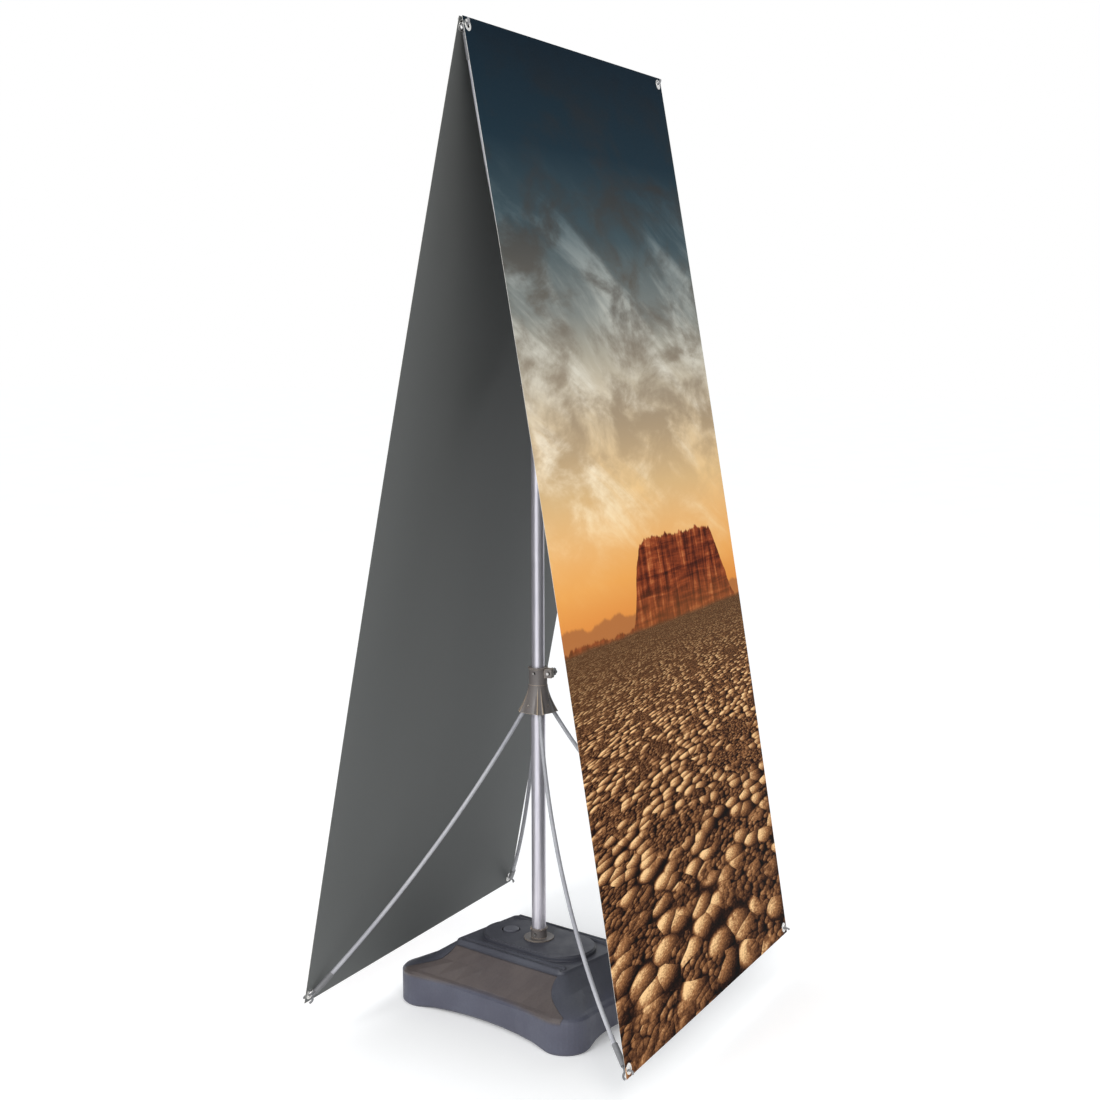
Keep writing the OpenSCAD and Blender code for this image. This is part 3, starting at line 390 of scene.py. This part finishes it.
MAT = {
    # The edge colours below are laid on sharp edges as painted highlight, partly wear too.
    "base_plastic": base_material(),
    "cap_plastic": moulded("cap_plastic", srgb(112, 113, 122), srgb(98, 99, 108), 0.42, edge=srgb(150, 150, 156)),
    "hub_plastic": hub_material(),
    "knob_plastic": moulded("knob_plastic", srgb(102, 98, 98), srgb(84, 81, 82), 0.42, edge=srgb(160, 150, 140)),
    "hook_plastic": moulded("hook_plastic", srgb(136, 136, 138), srgb(112, 112, 114), 0.42,
                            edge=srgb(176, 174, 174), wear_and_highlight=0.4),
    "rod_coating": moulded("rod_coating", srgb(190, 190, 194), srgb(170, 170, 176), 0.3, grain=500.0, depth=0.00003),
    "mast_metal": drawn_metal("mast_metal", srgb(226, 222, 228), srgb(200, 197, 208), 0.34, 0.7),
    "steel": drawn_metal("steel", srgb(214, 212, 208), srgb(176, 174, 172), 0.25, 1.0, (1.0, 1.0, 1.0)),
    "nickel": drawn_metal("nickel", srgb(232, 230, 226), srgb(206, 204, 200), 0.14, 1.0, (1.0, 1.0, 1.0)),
    "black_rubber": moulded("black_rubber", srgb(48, 48, 51), srgb(34, 34, 37), 0.7),
}
PRINT, BACK, EDGE = print_material(), film_back(), film_edge()

for row in frame["record"]["subparts"]:
    material = MAT.get(row["material_slot"])
    if material is not None:
        for s in NODES[row["node"]].material_slots:
            s.material = material


# Banners
def unit(v):
    return v / np.linalg.norm(v)


FRONT_TOP_Y, REAR_TOP_Y = -APEX_LEAD - APEX_GAP / 2, -APEX_LEAD + APEX_GAP / 2
TOP_Z = FOOT_GAP + math.sqrt(BANNER_H ** 2 - (FRONT_SPREAD + FRONT_TOP_Y) ** 2)
REAR_RISE = math.sqrt(BANNER_H ** 2 - (REAR_SPREAD - REAR_TOP_Y) ** 2)


class Banner:
    """One sheet: its low edge, its direction up and its outward side (s = -1 front, 1 rear)."""

    def __init__(self, name, low, top, s):
        self.name, self.s = name, s
        self.low = np.array(low)
        self.up = (np.array(top) - self.low) / BANNER_H
        self.out = unit(np.cross([s * -1.0, 0, 0], self.up))
        if self.out[1] * s < 0:
            self.out = -self.out

    def point(self, x, v, off=0.0):
        w = v / BANNER_H
        bow = FILM_BOW * 4 * w * (1 - w)
        return self.low + self.up * v + np.array([x, 0, 0]) + self.out * (bow + off)


BANNERS = {
    "front": Banner("front_banner", (0, -FRONT_SPREAD, FOOT_GAP), (0, FRONT_TOP_Y, TOP_Z), -1),
    "rear": Banner("rear_banner", (0, REAR_SPREAD, TOP_Z - REAR_RISE), (0, REAR_TOP_Y, TOP_Z), 1),
}
EYE_X, EYE_V = BANNER_W / 2 - EYE_INSET, EYE_INSET
PATCH, PATCH_N, HOLE_R = 0.012, 4, 0.0063
GRID_STEP = 0.02
# Share of the way to a corner at which corner_blend works out a point, which nothing uses
CORNER_SHARE = 0.88
# Half span over which the sheet's slope is taken
SLOPE_SPAN = 1e-3
SEAM_LOW, SEAM_HIGH = 0.45, 1.35


def lines(lo, hi, step, keep):
    """Grid lines from lo to hi that include every value in keep."""
    marks = sorted({round(v, 6) for v in [lo, hi, *keep] if lo - 1e-9 <= v <= hi + 1e-9})
    out = []
    for a, b in zip(marks, marks[1:]):
        n = max(1, int(round((b - a) / step)))
        out += [a + (b - a) * i / n for i in range(n)]
    return out + [marks[-1]]


def sheet_piece(banner, name, x0, x1, v0, v1, eyes):
    """Part of a banner as a thin closed-edged sheet with real eyelet holes."""
    near = [e + PATCH * k / PATCH_N for e in {p[0] for p in eyes} for k in range(-PATCH_N, PATCH_N + 1)]
    near_v = [e + PATCH * k / PATCH_N for e in {p[1] for p in eyes} for k in range(-PATCH_N, PATCH_N + 1)]
    xs, vs = lines(x0, x1, GRID_STEP, near), lines(v0, v1, GRID_STEP, near_v)
    pts, faces = [], []
    index = {}

    def vert(x, v):
        key = (round(x, 6), round(v, 6))
        if key not in index:
            index[key] = len(pts)
            pts.append((x, v))
        return index[key]

    def in_patch(x, v):
        return any(abs(x - ex) < PATCH and abs(v - ev) < PATCH for ex, ev in eyes)

    for i in range(len(xs) - 1):
        for j in range(len(vs) - 1):
            if in_patch((xs[i] + xs[i + 1]) / 2, (vs[j] + vs[j + 1]) / 2):
                continue
            faces.append([vert(xs[i], vs[j]), vert(xs[i + 1], vs[j]),
                          vert(xs[i + 1], vs[j + 1]), vert(xs[i], vs[j + 1])])
    rims = []
    for ex, ev in eyes:
        n = PATCH_N
        border = [(k, -n) for k in range(-n, n)] + [(n, k) for k in range(-n, n)]
        border += [(k, n) for k in range(n, -n, -1)] + [(-n, k) for k in range(n, -n, -1)]
        rows = [[vert(ex + PATCH * a / n, ev + PATCH * b / n) for a, b in border]]
        for mix in (0.5, 1.0):
            row = []
            for a, b in border:
                qx, qv = PATCH * a / n, PATCH * b / n
                r = math.hypot(qx, qv)
                cx, cv = HOLE_R * qx / r, HOLE_R * qv / r
                row.append(vert(ex + qx + (cx - qx) * mix, ev + qv + (cv - qv) * mix))
            rows.append(row)
        m = len(border)
        for a, b in zip(rows, rows[1:]):
            faces += [[a[k], a[(k + 1) % m], b[(k + 1) % m], b[k]] for k in range(m)]
        rims.append(rows[-1])
    n = len(pts)
    verts = [banner.point(x, v, FILM_T / 2) for x, v in pts] + [banner.point(x, v, -FILM_T / 2) for x, v in pts]
    flip = banner.s > 0
    outer = [f[::-1] if flip else f for f in faces]
    inner = [[i + n for i in reversed(f)] for f in outer]
    mats = [0] * len(outer) + [1] * len(inner)
    skin = outer + inner
    # narrow faces all round, at the seams too, so that each piece is a closed sheet
    sides = {(a, b) for f in outer for a, b in zip(f, f[1:] + f[:1])}
    for a, b in sorted(sides):
        if (b, a) not in sides:
            skin.append([b, a, a + n, b + n])
            mats.append(2)
    side = -banner.s
    uv = [(0.5 + side * x / BANNER_W, v / BANNER_H) for x, v in pts]
    obj = new_object(name, verts, skin, [PRINT, BACK, EDGE], mats, uv + uv)
    # normals of the whole sheet, so that no seam shows
    normals = []
    for k, (x, v) in enumerate(pts + pts):
        tv = banner.point(x, v + SLOPE_SPAN) - banner.point(x, v - SLOPE_SPAN)
        tx = banner.point(x + SLOPE_SPAN, v) - banner.point(x - SLOPE_SPAN, v)
        nrm = unit(np.cross(tx, tv))
        if nrm @ banner.out < 0:
            nrm = -nrm
        normals.append(tuple(nrm if k < n else -nrm))
    edge_faces = np.array(mats) == 2
    loop_normals = []
    for p in obj.data.polygons:
        for i in p.vertices:
            loop_normals.append(tuple(p.normal) if edge_faces[p.index] else normals[i])
    obj.data.normals_split_custom_set(loop_normals)
    return obj


def corner_blend(obj, banner, side, v_edge, v_seam):
    """Works out the diagonal from the sheet's edge to its seam and a point between it and the corner, which nothing
    uses, then bakes the piece's transform into its mesh.
    """
    a = np.array([0.0, v_edge])
    b = np.array([side * BANNER_W / 2, v_seam])
    corner = np.array([side * BANNER_W / 2, v_edge])
    along = unit(b - a)
    foot = a + along * ((corner - a) @ along)
    end = foot + (corner - foot) * CORNER_SHARE
    tuple(banner.point(foot[0], foot[1]))
    tuple(banner.point(end[0], end[1]))
    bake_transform(obj)


for key, banner in BANNERS.items():
    pieces = []
    for side, word in ((-1, "left"), (1, "right")):
        x0, x1 = sorted((0.0, side * BANNER_W / 2))
        low = sheet_piece(banner, f"{key}_film_low_{word}", x0, x1, 0.0, SEAM_LOW, [(side * EYE_X, EYE_V)])
        corner_blend(low, banner, side, 0.0, SEAM_LOW)
        high = sheet_piece(banner, f"{key}_film_high_{word}", x0, x1, SEAM_HIGH, BANNER_H,
                           [(side * EYE_X, BANNER_H - EYE_V)])
        corner_blend(high, banner, side, BANNER_H, SEAM_HIGH)
        pieces += [low, high]
    mid = sheet_piece(banner, f"{key}_film_middle", -BANNER_W / 2, BANNER_W / 2, SEAM_LOW, SEAM_HIGH, [])
    tuple(banner.point(0, SEAM_LOW))
    tuple(banner.point(0, SEAM_HIGH))
    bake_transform(mid)
    pieces.append(mid)
    for p in pieces:
        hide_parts(f"{key}_banner")


# Eyelets
RING_SIDES = 64


def ring_profile():
    """Half section of a rolled eyelet, as (radius, height) in metres."""
    r0, r1, h = EYE_BORE_R, EYE_R, EYE_T / 2
    pts = [(r0, -h * 0.6), (r0 + 0.0004, -h * 0.95), (r0 + 0.0014, -h), (r0 + 0.0032, -h * 0.86),
           (r1 - 0.0006, -h * 0.62), (r1, -h * 0.42), (r1, h * 0.42), (r1 - 0.0006, h * 0.62),
           (r0 + 0.0032, h * 0.86), (r0 + 0.0014, h), (r0 + 0.0004, h * 0.95), (r0, h * 0.6)]
    return pts


def eyelet(name, centre, out, body, node):
    prof, n = ring_profile(), RING_SIDES
    z = unit(np.array(out))
    x = np.array([1.0, 0, 0])
    y = np.cross(z, x)
    verts, faces = [], []
    for i in range(n):
        a = 2 * math.pi * i / n
        d = x * math.cos(a) + y * math.sin(a)
        verts += [centre + d * r + z * h for r, h in prof]
    m = len(prof)
    for i in range(n):
        j = (i + 1) % n
        faces += [[i * m + k, j * m + k, j * m + (k + 1) % m, i * m + (k + 1) % m] for k in range(m)]
    obj = new_object(name, verts, faces, [MAT["nickel"]])
    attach(obj, body)
    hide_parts(node)


for key, banner in BANNERS.items():
    for side, word in ((-1, "left"), (1, "right")):
        eyelet(f"{key}_{word}_low_ring", banner.point(side * EYE_X, EYE_V), banner.out,
               f"{key}_{word}_arm", f"low_{key}_{word}_eyelet")
        eyelet(f"{key}_{word}_top_ring", banner.point(side * EYE_X, BANNER_H - EYE_V), banner.out,
               f"top_{word}_arm", f"top_{key}_{word}_eyelet")


# Stage, light, camera
FLOOR_HALF = 30.0
# Glow that the camera and reflections see, so that the floor meets the white behind it
FLOOR_GLOW = 0.215
# Brightness of the studio's light from all round
STUDIO_LIGHT = 0.92


def floor():
    g = Graph("floor_white")
    grain = g.noise(g.coords(), 3.0, 2.0)
    shade = g.mix(g.range(grain, 0.3, 0.7), srgb(240, 240, 240), srgb(243, 243, 243))
    path = g.node("LightPath", out=None)
    seen = g.math("MAXIMUM", path.outputs["Is Camera Ray"], path.outputs["Is Glossy Ray"])
    diffuse = g.node("BsdfDiffuse", {"Color": shade})
    glow = g.node("Emission", {"Color": (1, 1, 1, 1), "Strength": g.math("MULTIPLY", seen, FLOOR_GLOW)})
    g.tree.links.new(g.node("AddShader", {0: diffuse, 1: glow}), g.out.inputs[0])
    s = FLOOR_HALF
    corners = [(-s, -s, 0), (s, -s, 0), (s, s, 0), (-s, s, 0)]
    obj = new_object("floor", corners, [(0, 1, 2, 3)], [g.mat], smooth=False)


def world():
    w = bpy.data.worlds.new("studio")
    bpy.context.scene.world = w
    w.use_nodes = True
    t = w.node_tree
    t.nodes.clear()
    out = t.nodes.new("ShaderNodeOutputWorld")
    path = t.nodes.new("ShaderNodeLightPath")
    lit = t.nodes.new("ShaderNodeBackground")
    lit.inputs[0].default_value = (0.96, 0.98, 1.0, 1)
    lit.inputs[1].default_value = STUDIO_LIGHT
    seen = t.nodes.new("ShaderNodeBackground")
    seen.inputs[0].default_value = (1, 1, 1, 1)
    seen.inputs[1].default_value = 1.0
    either = t.nodes.new("ShaderNodeMath")
    either.operation = "MAXIMUM"
    t.links.new(path.outputs["Is Camera Ray"], either.inputs[0])
    t.links.new(path.outputs["Is Transmission Ray"], either.inputs[1])
    mix = t.nodes.new("ShaderNodeMixShader")
    t.links.new(either.outputs[0], mix.inputs[0])
    t.links.new(lit.outputs[0], mix.inputs[1])
    t.links.new(seen.outputs[0], mix.inputs[2])
    t.links.new(mix.outputs[0], out.inputs[0])


def area(name, place, target, size, power, colour):
    data = bpy.data.lights.new(name, "AREA")
    data.shape, data.size, data.energy, data.color = "SQUARE", size, power, colour
    obj = bpy.data.objects.new(name, data)
    bpy.context.scene.collection.objects.link(obj)
    obj.location = place
    obj.rotation_euler = (Vector(target) - Vector(place)).to_track_quat("-Z", "Y").to_euler()


CAM_AT = (-2.8677, -1.5253, 1.3349)
# Angles in radians, and the focal length in pixels of a picture PHOTO_SIDE wide
CAM_YAW, CAM_PITCH, CAM_ROLL, CAM_F = 0.4815, -0.1288, -0.0022, 1685.63
PHOTO_SIDE, SENSOR = 1100, 36.0


def camera():
    flat = math.cos(CAM_PITCH)
    f = Vector((math.cos(CAM_YAW) * flat, math.sin(CAM_YAW) * flat, math.sin(CAM_PITCH)))
    r = f.cross(Vector((0, 0, 1))).normalized()
    u = r.cross(f)
    c, s = math.cos(CAM_ROLL), math.sin(CAM_ROLL)
    r2, u2 = r * c + u * s, u * c - r * s
    data = bpy.data.cameras.new("view")
    data.sensor_width, data.lens = SENSOR, CAM_F / PHOTO_SIDE * SENSOR
    data.clip_end = 200.0
    obj = bpy.data.objects.new("view", data)
    bpy.context.scene.collection.objects.link(obj)
    m = Matrix((r2, u2, -f)).transposed().to_4x4()
    m.translation = Vector(CAM_AT)
    obj.matrix_world = m
    bpy.context.scene.camera = obj


floor()
world()
area("key", (-3.4, -2.8, 3.4), (0, -0.1, 0.8), 1.6, 46.0, (1.0, 0.96, 0.9))
area("side", (-3.2, 0.2, 2.2), (0, 0, 0.4), 1.3, 52.0, (0.97, 0.98, 1.0))
camera()
bpy.context.scene.view_settings.view_transform = "Standard"
